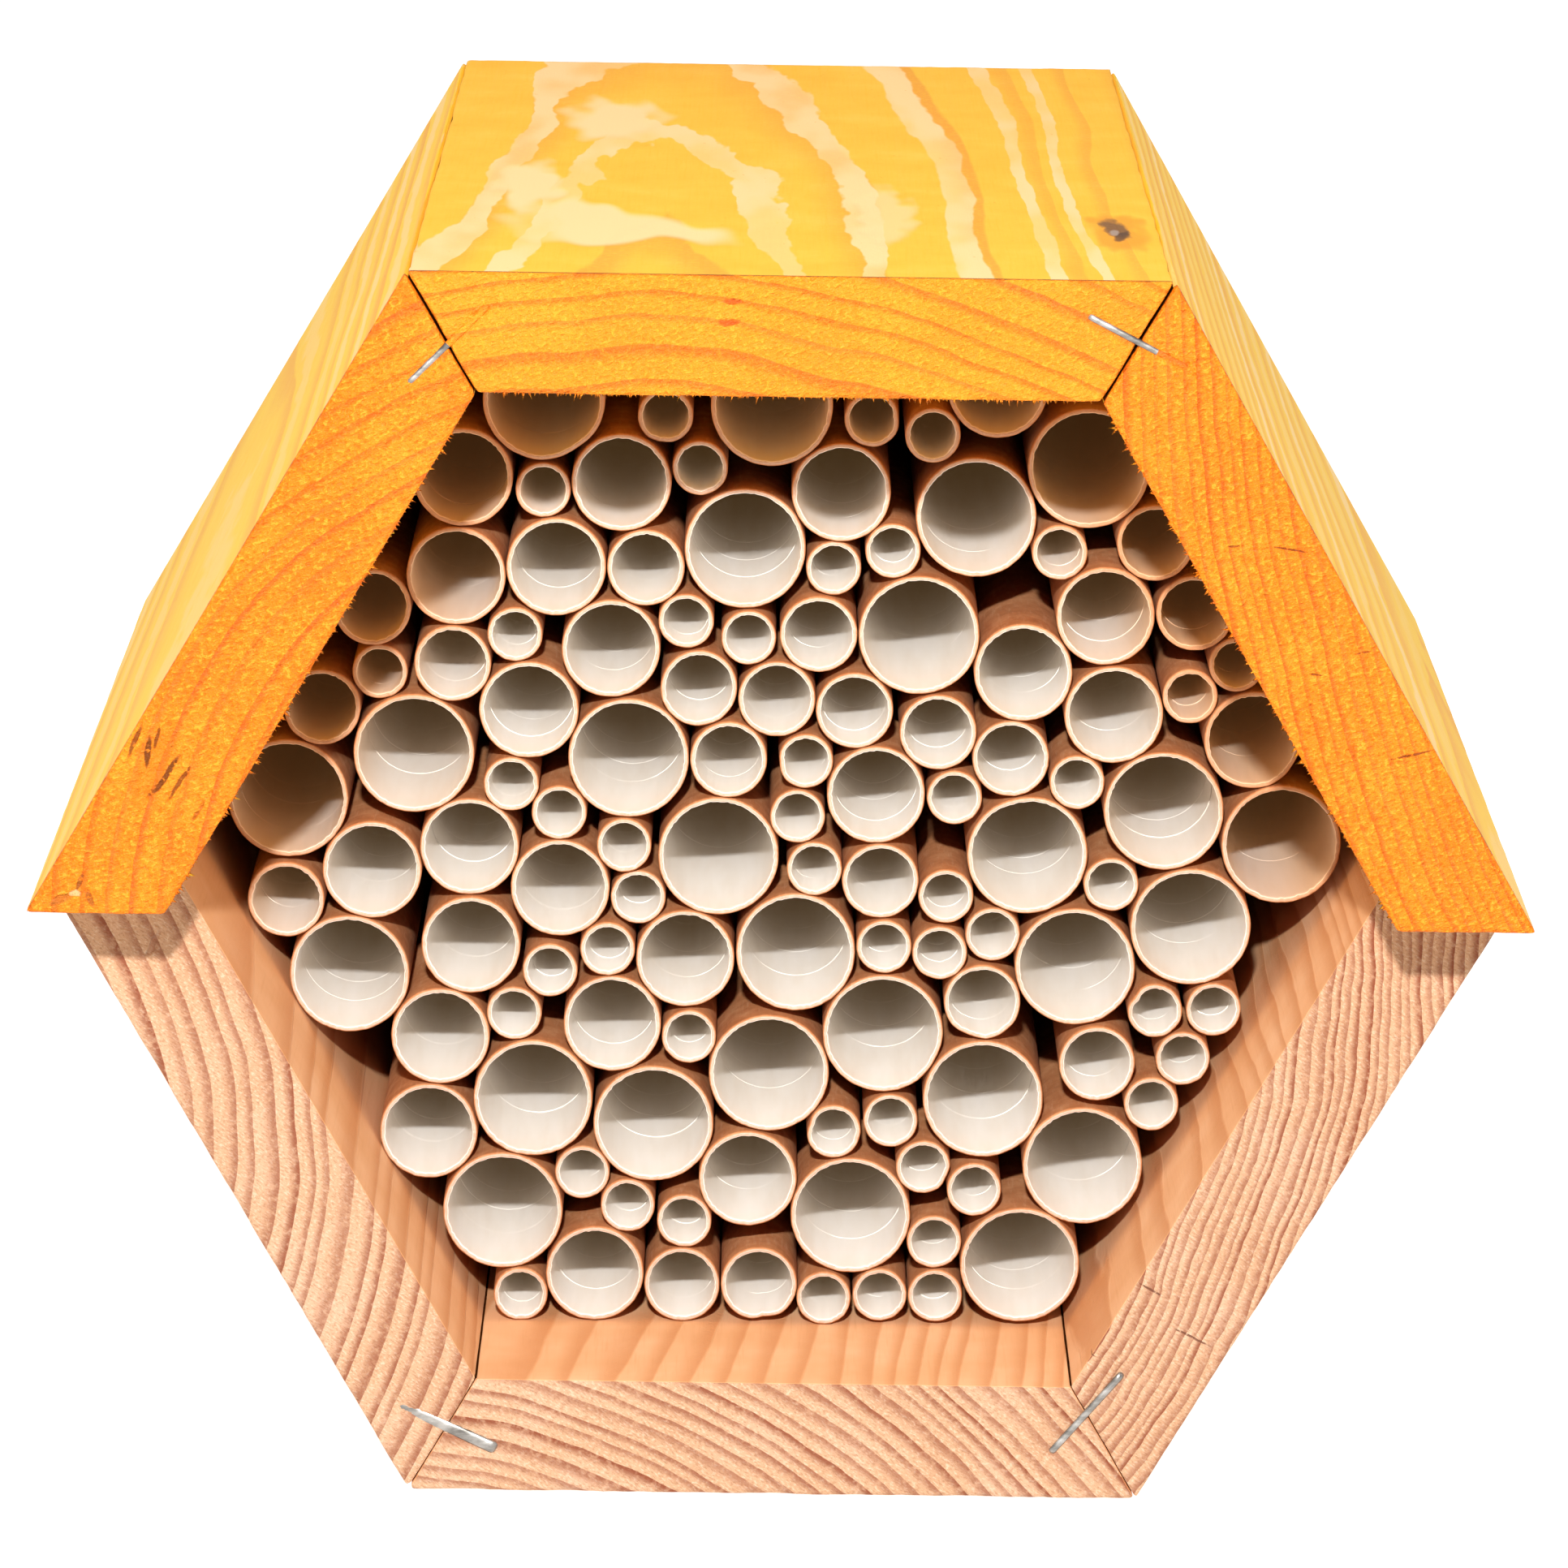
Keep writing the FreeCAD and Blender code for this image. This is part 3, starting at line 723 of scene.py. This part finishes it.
def node_parts(name):
    """The separate solids of a CAD node, each as its list of points."""
    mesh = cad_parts[name].data
    parent = list(range(len(mesh.vertices)))

    def find(i):
        while parent[i] != i:
            parent[i] = parent[parent[i]]
            i = parent[i]
        return i

    seen = {}
    for vertex in mesh.vertices:
        key = tuple(round(c / MM, 3) for c in vertex.co)
        parent[find(vertex.index)] = find(seen.setdefault(key, vertex.index))
    for edge in mesh.edges:
        parent[find(edge.vertices[0])] = find(edge.vertices[1])
    groups = {}
    for vertex in mesh.vertices:
        groups.setdefault(find(vertex.index), []).append(vertex.co.copy())
    return list(groups.values())


def staple_line(points, facing):
    """A staple from its CAD solid: its crown's middle, direction and half length, and its leg's length."""
    near = min(p.y * facing for p in points)
    crown = [p for p in points if p.y * facing < near + CROWN_BAND]
    a, b = max(((p, q) for p in crown for q in crown), key=lambda pq: (pq[0] - pq[1]).length)
    middle = (a + b) / 2
    middle.y = near * facing
    if a.x > b.x:
        a, b = b, a
    direction = Vector((b.x - a.x, 0, b.z - a.z))
    leg = max(p.y * facing for p in points) - near
    return middle, direction.normalized(), direction.length / 2, leg


def wire_along(path, width, height, side):
    """Points and faces of a flattened wire swept along a path, with its width along side."""
    points, faces = [], []
    for index, place in enumerate(path):
        before = path[max(index - 1, 0)]
        after = path[min(index + 1, len(path) - 1)]
        tangent = (after - before).normalized()
        top = side.cross(tangent).normalized()
        for step in range(WIRE_SIDES):
            turn = 2 * math.pi * (step + 0.5) / WIRE_SIDES
            c, s = math.cos(turn), math.sin(turn)
            c = math.copysign(abs(c) ** WIRE_SQUARENESS, c)
            s = math.copysign(abs(s) ** WIRE_SQUARENESS, s)
            points.append(place + side * (c * width / 2) + top * (s * height / 2))
    for index in range(len(path) - 1):
        for step in range(WIRE_SIDES):
            a = index * WIRE_SIDES + step
            b = index * WIRE_SIDES + (step + 1) % WIRE_SIDES
            faces.append([a, b, b + WIRE_SIDES, a + WIRE_SIDES])
    faces.append(list(reversed(range(WIRE_SIDES))))
    last = (len(path) - 1) * WIRE_SIDES
    faces.append([last + step for step in range(WIRE_SIDES)])
    return points, faces


def staple_path(middle, direction, half_length, leg, facing, bow):
    """Middle line of a staple: leg, bend, crown, bend, leg; bow gives the crown's depth."""
    path = []
    inner = half_length - WIRE_BEND
    for step in range(LEG_STEPS, 0, -1):
        path.append((-half_length, WIRE_BEND + (leg - WIRE_BEND) * step / LEG_STEPS))
    for step in range(BEND_STEPS):
        turn = math.pi / 2 * step / BEND_STEPS
        path.append((-inner - WIRE_BEND * math.cos(turn), WIRE_BEND * (1 - math.sin(turn))))
    for step in range(CROWN_STEPS + 1):
        path.append((-inner + 2 * inner * step / CROWN_STEPS, 0))
    for run, into in reversed(path[:LEG_STEPS + BEND_STEPS]):
        path.append((-run, into))
    placed = []
    for run, into in path:
        place = middle + direction * run
        place.y = middle.y + facing * (into + bow(run / half_length) + WIRE_SUNK)
        placed.append(place)
    return placed


def make_staple(piece_name, node, points, facing, bow, width, materials, painted=BARE):
    """A staple in the place of one CAD solid, a little shorter than it so that it stays inside."""
    middle, direction, half_length, leg = staple_line(points, facing)
    half_length -= SHORTER_CROWN
    path = staple_path(middle, direction, half_length, leg - SHORTER_LEG, facing, bow)
    shell, faces = wire_along(path, width, WIRE_HEIGHT, direction.cross(Vector((0, 1, 0))))
    piece = make_object(piece_name, shell, faces, materials)
    for polygon in piece.data.polygons:
        if (polygon.center - middle).dot(direction) > painted * half_length:
            polygon.material_index = 1
    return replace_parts(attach(piece, "root"), node)


# ---- paper tubes ----

# Colour multiplied into the pale paper near the roof: painted shade, warmed like light bounced from the
# stained boards.
PAINTED_ROOF_SHADE = "#EFCDAA"
KINDS = ("outside", "rim", "inside")  # of paper, in the order of a tube's material slots
TUBE_PLIES = 3  # steps inside, where a ply of the paper ends
FRAYED = 0.5  # depth of the frayed rim in millimetres
TUBE_FACET = 0.34 * MM  # widest side of a tube's outline
MOST_SQUASHED = 0.007  # share of the radius
DEPTH_SPREAD = 0.35  # of the tubes' fronts, in millimetres
DENT_ANGLE = 0.35  # half width of a dent in the rim, in radians
SHADE_START = 5.0  # from the roof's inner faces, in millimetres
SHADE_END = 15.0


def painted_shade_under_roof(shader, place):
    """Mask of the painted shade under the roof: 1 close under the roof's boards, 0 farther off than a wide
    tube.
    """
    from_centre = shader.vector("SUBTRACT", place, CENTRE / MM)
    reach = 0.0
    for board in BOARD_ANGLES:
        if is_roof(board):
            outward = shader.vector("DOT_PRODUCT", from_centre, board_axes(board)[1])
            reach = shader.math("MAXIMUM", reach, outward)
    inner_face = (HALF_HEIGHT - THICKNESS) / MM
    return shader.step(reach, inner_face - SHADE_END, inner_face - SHADE_START)


def tube_material(kind):
    """Rolled paper: brown kraft outside, pale and glossy inside, pale frayed rim.

    Near the roof the pale paper is tinted brown: painted shade, warmed like light bounced from the
    stained boards. All over, the inside also glows very faintly and warmly: painted light that stands in
    for light bounced about inside the tube.
    """
    shader = Shader("paper_" + kind)
    place = shader.place()
    drawn = shader.drawn(place, 0.12)
    roof_shade_mask = painted_shade_under_roof(shader, place)
    if kind == "outside":
        mottle = shader.noise(place, 0.5, 4.0, 0.65)
        colour = shader.ramp(mottle, [(0.3, "#AE6E42"), (0.5, "#BE7E50"), (0.7, "#CC9264")])
        fibre = shader.noise(drawn, 3.0, 3.0, 0.6)
        colour = shader.tint(colour, shader.step(fibre, 0.5, 0.8), 0.4, "#DDB08A")
        normal = shader.bump(fibre, 0.3, 0.08 * MM)
        return shader.finish(Base_Color=colour, Roughness=0.62, Normal=normal)
    if kind == "rim":
        mottle = shader.noise(place, 2.2, 4.0, 0.7)
        colour = shader.ramp(mottle, [(0.3, "#BC9A80"), (0.5, "#C6A790"), (0.7, "#D2B7A3")])
        # Painted shade near the roof, tinting the rim brown.
        colour = shader.mix(roof_shade_mask, colour, rgb(PAINTED_ROOF_SHADE), "MULTIPLY")
        normal = shader.bump(mottle, 0.5, 0.12 * MM)
        return shader.finish(Base_Color=colour, Roughness=0.8, Normal=normal)
    mottle = shader.noise(drawn, 0.5, 3.0, 0.55)
    colour = shader.ramp(mottle, [(0.3, "#F0E8DE"), (0.5, "#F4EEE6"), (0.7, "#F7F2EC")])
    # Painted shade near the roof, tinting the inside brown.
    colour = shader.mix(roof_shade_mask, colour, rgb(PAINTED_ROOF_SHADE), "MULTIPLY")
    fibre = shader.noise(drawn, 2.0, 2.0, 0.5)
    normal = shader.bump(fibre, 0.08, 0.08 * MM)
    # The faint warm emission is painted light: it stands in for light bounced about inside the tube.
    return shader.finish(Base_Color=colour, Roughness=0.35, Specular_IOR_Level=0.25, Normal=normal,
                         Emission_Color=(1.0, 0.6, 0.22, 1), Emission_Strength=0.011)


def tube_profile(radius, rng):
    """A tube's wall, outside first: share of the wall's thickness, depth, inner step and kind.

    Depths and steps are in millimetres. A ply's end is a small step in the inside.
    """
    outside = [(1.0, deep, 0.0, "outside") for deep in (93.0, 60.0, 30.0, 12.0, 5.0, 2.0, 0.8, 0.3)]
    rim = [(0.96, 0.08, 0.0, "outside"), (0.72, 0.0, 0.0, "outside"), (0.45, 0.0, 0.0, "rim"),
           (0.15, 0.02, 0.0, "rim"), (0.0, 0.12, 0.0, "inside")]
    inside = [(0.4, 0.0), (1.0, 0.0), (2.5, 0.0)]
    step = 0.0
    deep = radius / MM * rng.uniform(1.5, 2.7)
    for ply in range(TUBE_PLIES):
        inside.extend([(deep - 0.1, step), (deep, step)])
        step += rng.choice((0.01, 0.03, 0.045)) if ply == 0 else rng.uniform(0.015, 0.035)
        inside.extend([(deep + 0.06, step), (deep + 0.16, step)])
        deep += rng.uniform(6.0, 11.0)
    inside.extend([(60.0, step), (93.0, step)])
    return outside + rim + [(0.0, deep, step, "inside") for deep, step in inside]


def add_tube(mesh_points, mesh_faces, kinds, centre, radius, wall, start, end, rng):
    """One paper tube as a closed shell: outside, frayed rim, inside and a plain far end."""
    count = max(36, int(2 * math.pi * radius / TUBE_FACET))
    seed = Vector((rng.uniform(-50, 50), rng.uniform(-50, 50), rng.uniform(-50, 50)))
    squash_turn = rng.uniform(0, math.pi)
    squash = rng.uniform(0.0, MOST_SQUASHED)
    recess = abs(rng.gauss(0, DEPTH_SPREAD)) * MM
    lean = rng.uniform(0, 2 * math.pi)
    dent_turn = rng.uniform(0, 2 * math.pi)
    dent = max(0.0, rng.gauss(-0.12, 0.16)) * MM
    base = len(mesh_points)
    profile = tube_profile(radius, rng)
    for share, back, ply, kind in profile:
        deep = min(back * MM / (end - start), 1.0)
        near = math.exp(-back / 3.0)
        for step in range(count):
            turn = 2 * math.pi * step / count
            c, s = math.cos(turn), math.sin(turn)
            circle = Vector((c, s, 0))
            fray = noise.noise(circle * radius / MM * 1.1 + seed)
            fibre = noise.noise(circle * radius / MM * 4.0 + seed)
            gap = math.atan2(math.sin(turn - dent_turn), math.cos(turn - dent_turn))
            width = radius * (1 - squash * (1 + math.cos(2 * (turn - squash_turn))))
            width -= dent * math.exp(-(gap / DENT_ANGLE) ** 2) * math.exp(-back / 5.0)
            thin = wall * (1 - 0.2 * near + 0.2 * near * fibre)
            r = width - thin * (1 - share) - 0.02 * MM * near * (1 + fray) - ply * MM
            y = start + recess + deep * (end - start - recess)
            if back < FRAYED:
                y += (0.10 + 0.10 * fray + 0.07 * fibre) * MM
                y += 0.012 * radius * (1 + math.cos(turn - lean))
            elif ply:
                y += 0.35 * MM * math.sin(turn - lean) + 0.10 * fibre * MM
            mesh_points.append(Vector((centre.x + r * c, min(y, end), centre.z + r * s)))
    rows = len(profile)
    for row in range(rows):
        following = (row + 1) % rows
        kind = profile[following][3] if following else "inside"
        for step in range(count):
            beside = (step + 1) % count
            mesh_faces.append([base + row * count + step, base + row * count + beside,
                               base + following * count + beside, base + following * count + step])
            kinds.append(KINDS.index(kind))


def make_tubes(node, materials, rng):
    """All the tubes of one CAD node, in one piece, at the places of its solids."""
    points, faces, kinds = [], [], []
    for part in node_parts(node):
        low = Vector([min(p[i] for p in part) for i in range(3)])
        high = Vector([max(p[i] for p in part) for i in range(3)])
        middle = (low + high) / 2
        radius = (high.x - low.x) / 2
        inner = min(math.hypot(p.x - middle.x, p.z - middle.z) for p in part)
        add_tube(points, faces, kinds, middle, radius, radius - inner, low.y, high.y, rng)
    piece = make_object(node + "_paper", points, faces, materials)
    piece.data.polygons.foreach_set("material_index", kinds)
    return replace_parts(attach(piece, "root"), node)


# ---- metal and panel ----

def wire_steel():
    """Dull bare wire, lightly scratched."""
    shader = Shader("wire_steel")
    place = shader.place()
    scratch = shader.noise(shader.vector("MULTIPLY", place, (0.35, 1, 1)), 1.2, 4.0, 0.6)
    colour = shader.ramp(scratch, [(0.3, "#76726C"), (0.5, "#9C9892"), (0.7, "#C0BCB6")])
    rough = shader.math("MULTIPLY_ADD", scratch, 0.35, 0.2)
    normal = shader.bump(scratch, 0.1, 0.05 * MM)
    return shader.finish(Base_Color=colour, Metallic=0.9, Roughness=rough, Normal=normal)


def zinc_steel():
    """Zinc-coated sheet with its spangle."""
    shader = Shader("zinc_steel")
    place = shader.place()
    spangle = shader.cells(place, 0.45)
    fine = shader.noise(place, 1.6, 4.0, 0.65)
    cloud = shader.math("MULTIPLY_ADD", fine, 0.5, shader.math("MULTIPLY", spangle, 0.4))
    colour = shader.ramp(cloud, [(0.2, "#8F9296"), (0.5, "#B4B7BA"), (0.8, "#D5D7D9")])
    rough = shader.math("MULTIPLY_ADD", fine, 0.3, 0.25)
    normal = shader.bump(fine, 0.2, 0.08 * MM)
    return shader.finish(Base_Color=colour, Metallic=0.95, Roughness=rough, Normal=normal)


def plywood():
    """Birch ply: long pale grain on its faces, thin layers along its edge."""
    shader = Shader("plywood")
    place = shader.place()
    y = shader.split(place)[1]
    grain = shader.noise(shader.vector("MULTIPLY", place, (0.09, 0.5, 1)), 0.9, 4.0, 0.6)
    figure = shader.noise(shader.vector("MULTIPLY", place, (0.02, 0.1, 0.13)), 1.3, 3.0, 0.5)
    bands = shader.math("FRACT", shader.math("MULTIPLY", figure, 9.0))
    face = shader.ramp(grain, [(0.3, "#D7AE7A"), (0.5, "#E0BC8B"), (0.7, "#E9CB9F")])
    face = shader.tint(face, shader.step(bands, 0.6, 1.0), 0.35, "#BE8C57")
    layers = shader.step(shader.math("FRACT", shader.math("MULTIPLY", y, 0.75)), 0.45, 0.55)
    edge = shader.mix(layers, rgb("#C99B68"), rgb("#E6C797"))
    facing = shader.math("ABSOLUTE", shader.split(shader.normal())[1])
    colour = shader.mix(shader.step(facing, 0.4, 0.6), edge, face)
    normal = shader.bump(grain, 0.25, 0.1 * MM)
    return shader.finish(Base_Color=colour, Roughness=0.6, Normal=normal)


def dress_cad_node(name, material):
    """Give a CAD node that keeps its shape a better finish."""
    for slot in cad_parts[name].material_slots:
        slot.material = material


# ---- the house ----

steel = wire_steel()
zinc = zinc_steel()

skins = {}
for board in BOARD_ANGLES:
    skins[board] = stained_wood(board) if is_roof(board) else plain_wood(board)

# Each front staple: its crown's width, how deep the crown bows into the wood from its left end
# (-1) to its right end (1), and the place along it past which the stain covers it.
FRONT_STAPLES = {
    "front_staple_upper_left": (0.6 * MM, lambda s: 0.05 * MM * (1 - math.tanh(5 * s)), 0.0),
    "front_staple_upper_right": (0.6 * MM, lambda s: 0.04 * MM * (1 + math.tanh(4 * s)), 0.35),
    "front_staple_lower_left": (1.15 * MM, lambda s: 0.19 * MM * (1 - s), BARE),
    "front_staple_lower_right": (0.65 * MM, lambda s: 0.05 * MM * (1 - s), BARE),
}
TOWARDS_BACK = 1  # the way a staple's legs run in
TOWARDS_FRONT = -1

front_grooves = []
for node, (width, bow, painted) in FRONT_STAPLES.items():
    part = node_parts(node)[0]
    front_grooves.append(staple_line(part, TOWARDS_BACK)[:3])
    metals = [steel, skins["roof_board_top"]]
    make_staple(node + "_wire", node, part, TOWARDS_BACK, bow, width, metals, painted)
rear_grooves = []
for number, part in enumerate(node_parts("rear_staples")):
    rear_grooves.append(staple_line(part, TOWARDS_FRONT)[:3])
    make_staple("rear_staple_wire_%d" % (number + 1), "rear_staples", part, TOWARDS_FRONT,
                lambda s: 0.08 * MM * (1 - s * s), MM, [steel])

# The dark inside of the mitre joints is painted shade.
joint_shade_skin = mitre_shade()
for board, skin in skins.items():
    make_board(board, skin, joint_shade_skin, front_grooves, rear_grooves)

tube_skins = [tube_material(kind) for kind in KINDS]
for node in sorted(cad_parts):
    if "_tubes_" in node:
        make_tubes(node, tube_skins, random.Random(node))

dress_cad_node("back_panel", plywood())
dress_cad_node("panel_brads", steel)
dress_cad_node("hanger_plate", zinc)
dress_cad_node("hanger_screws", zinc)


# ---- floor, light and camera ----

LENS_LENGTH = 184.8  # in millimetres, on a sensor 36 mm wide
CAMERA_PLACE = Vector((-2.85 * MM, FRONT - 681.8 * MM, HALF_HEIGHT + 167.9 * MM))
CAMERA_TURNS = (12.83, 0.245, -0.87)  # down, to the right and rolled, in degrees


def make_floor():
    """A plain white floor that glows a little, so that it shows no horizon."""
    bpy.ops.mesh.primitive_plane_add(size=12, location=(0, 0, -0.2 * MM))
    floor = bpy.context.object
    floor.name = "floor"
    shader = Shader("floor_white")
    cloud = shader.noise(shader.place(), 0.002, 2.0)
    colour = shader.ramp(cloud, [(0.0, "#8A8A8A"), (1.0, "#8E8E8E")])
    floor.data.materials.append(shader.finish(Base_Color=colour, Roughness=0.9,
                                              Emission_Color=(1, 1, 1, 1), Emission_Strength=0.95))


def make_light(name, energy, place, size):
    """A round lamp at this place that shines on the middle of the house."""
    lamp = bpy.data.lights.new(name, "AREA")
    lamp.energy = energy
    lamp.shape = "DISK"
    lamp.size = size
    holder = bpy.data.objects.new(name, lamp)
    holder.location = place
    holder.rotation_euler = (Vector(place) - CENTRE).to_track_quat("Z", "Y").to_euler()
    bpy.context.scene.collection.objects.link(holder)


def make_world():
    """Even, slightly warm white light from all round."""
    world = bpy.data.worlds.new("studio")
    world.use_nodes = True
    background = world.node_tree.nodes["Background"]
    background.inputs["Color"].default_value = (1.0, 0.99, 0.98, 1)
    background.inputs["Strength"].default_value = 0.3
    bpy.context.scene.world = world


def make_camera():
    """In front of the house and above its roof, looking down on it through a long lens."""
    lens = bpy.data.cameras.new("camera")
    lens.sensor_width = 36
    lens.lens = LENS_LENGTH
    lens.clip_start = 0.05
    holder = bpy.data.objects.new("camera", lens)
    pitch, yaw, roll = (math.radians(a) for a in CAMERA_TURNS)
    forward = Vector((math.sin(yaw) * math.cos(pitch), math.cos(yaw) * math.cos(pitch), -math.sin(pitch)))
    level = Vector((math.cos(yaw), -math.sin(yaw), 0))
    down = forward.cross(level)
    right = level * math.cos(roll) + down * math.sin(roll)
    up = level * math.sin(roll) - down * math.cos(roll)
    turned = Matrix((right, up, -forward)).transposed().to_4x4()
    holder.matrix_world = Matrix.Translation(CAMERA_PLACE) @ turned
    bpy.context.scene.collection.objects.link(holder)
    bpy.context.scene.camera = holder


make_floor()
make_light("key", energy=9.2, place=(-0.03, -0.75, 0.40), size=0.03)
make_light("top", energy=3.5, place=(0, -0.3, 1.2), size=0.9)
make_light("left", energy=2.0, place=(-0.9, -0.1, 0.6), size=0.6)
make_light("right", energy=2.0, place=(0.9, -0.1, 0.6), size=0.6)
make_world()
make_camera()
bpy.context.scene.view_settings.view_transform = "Standard"
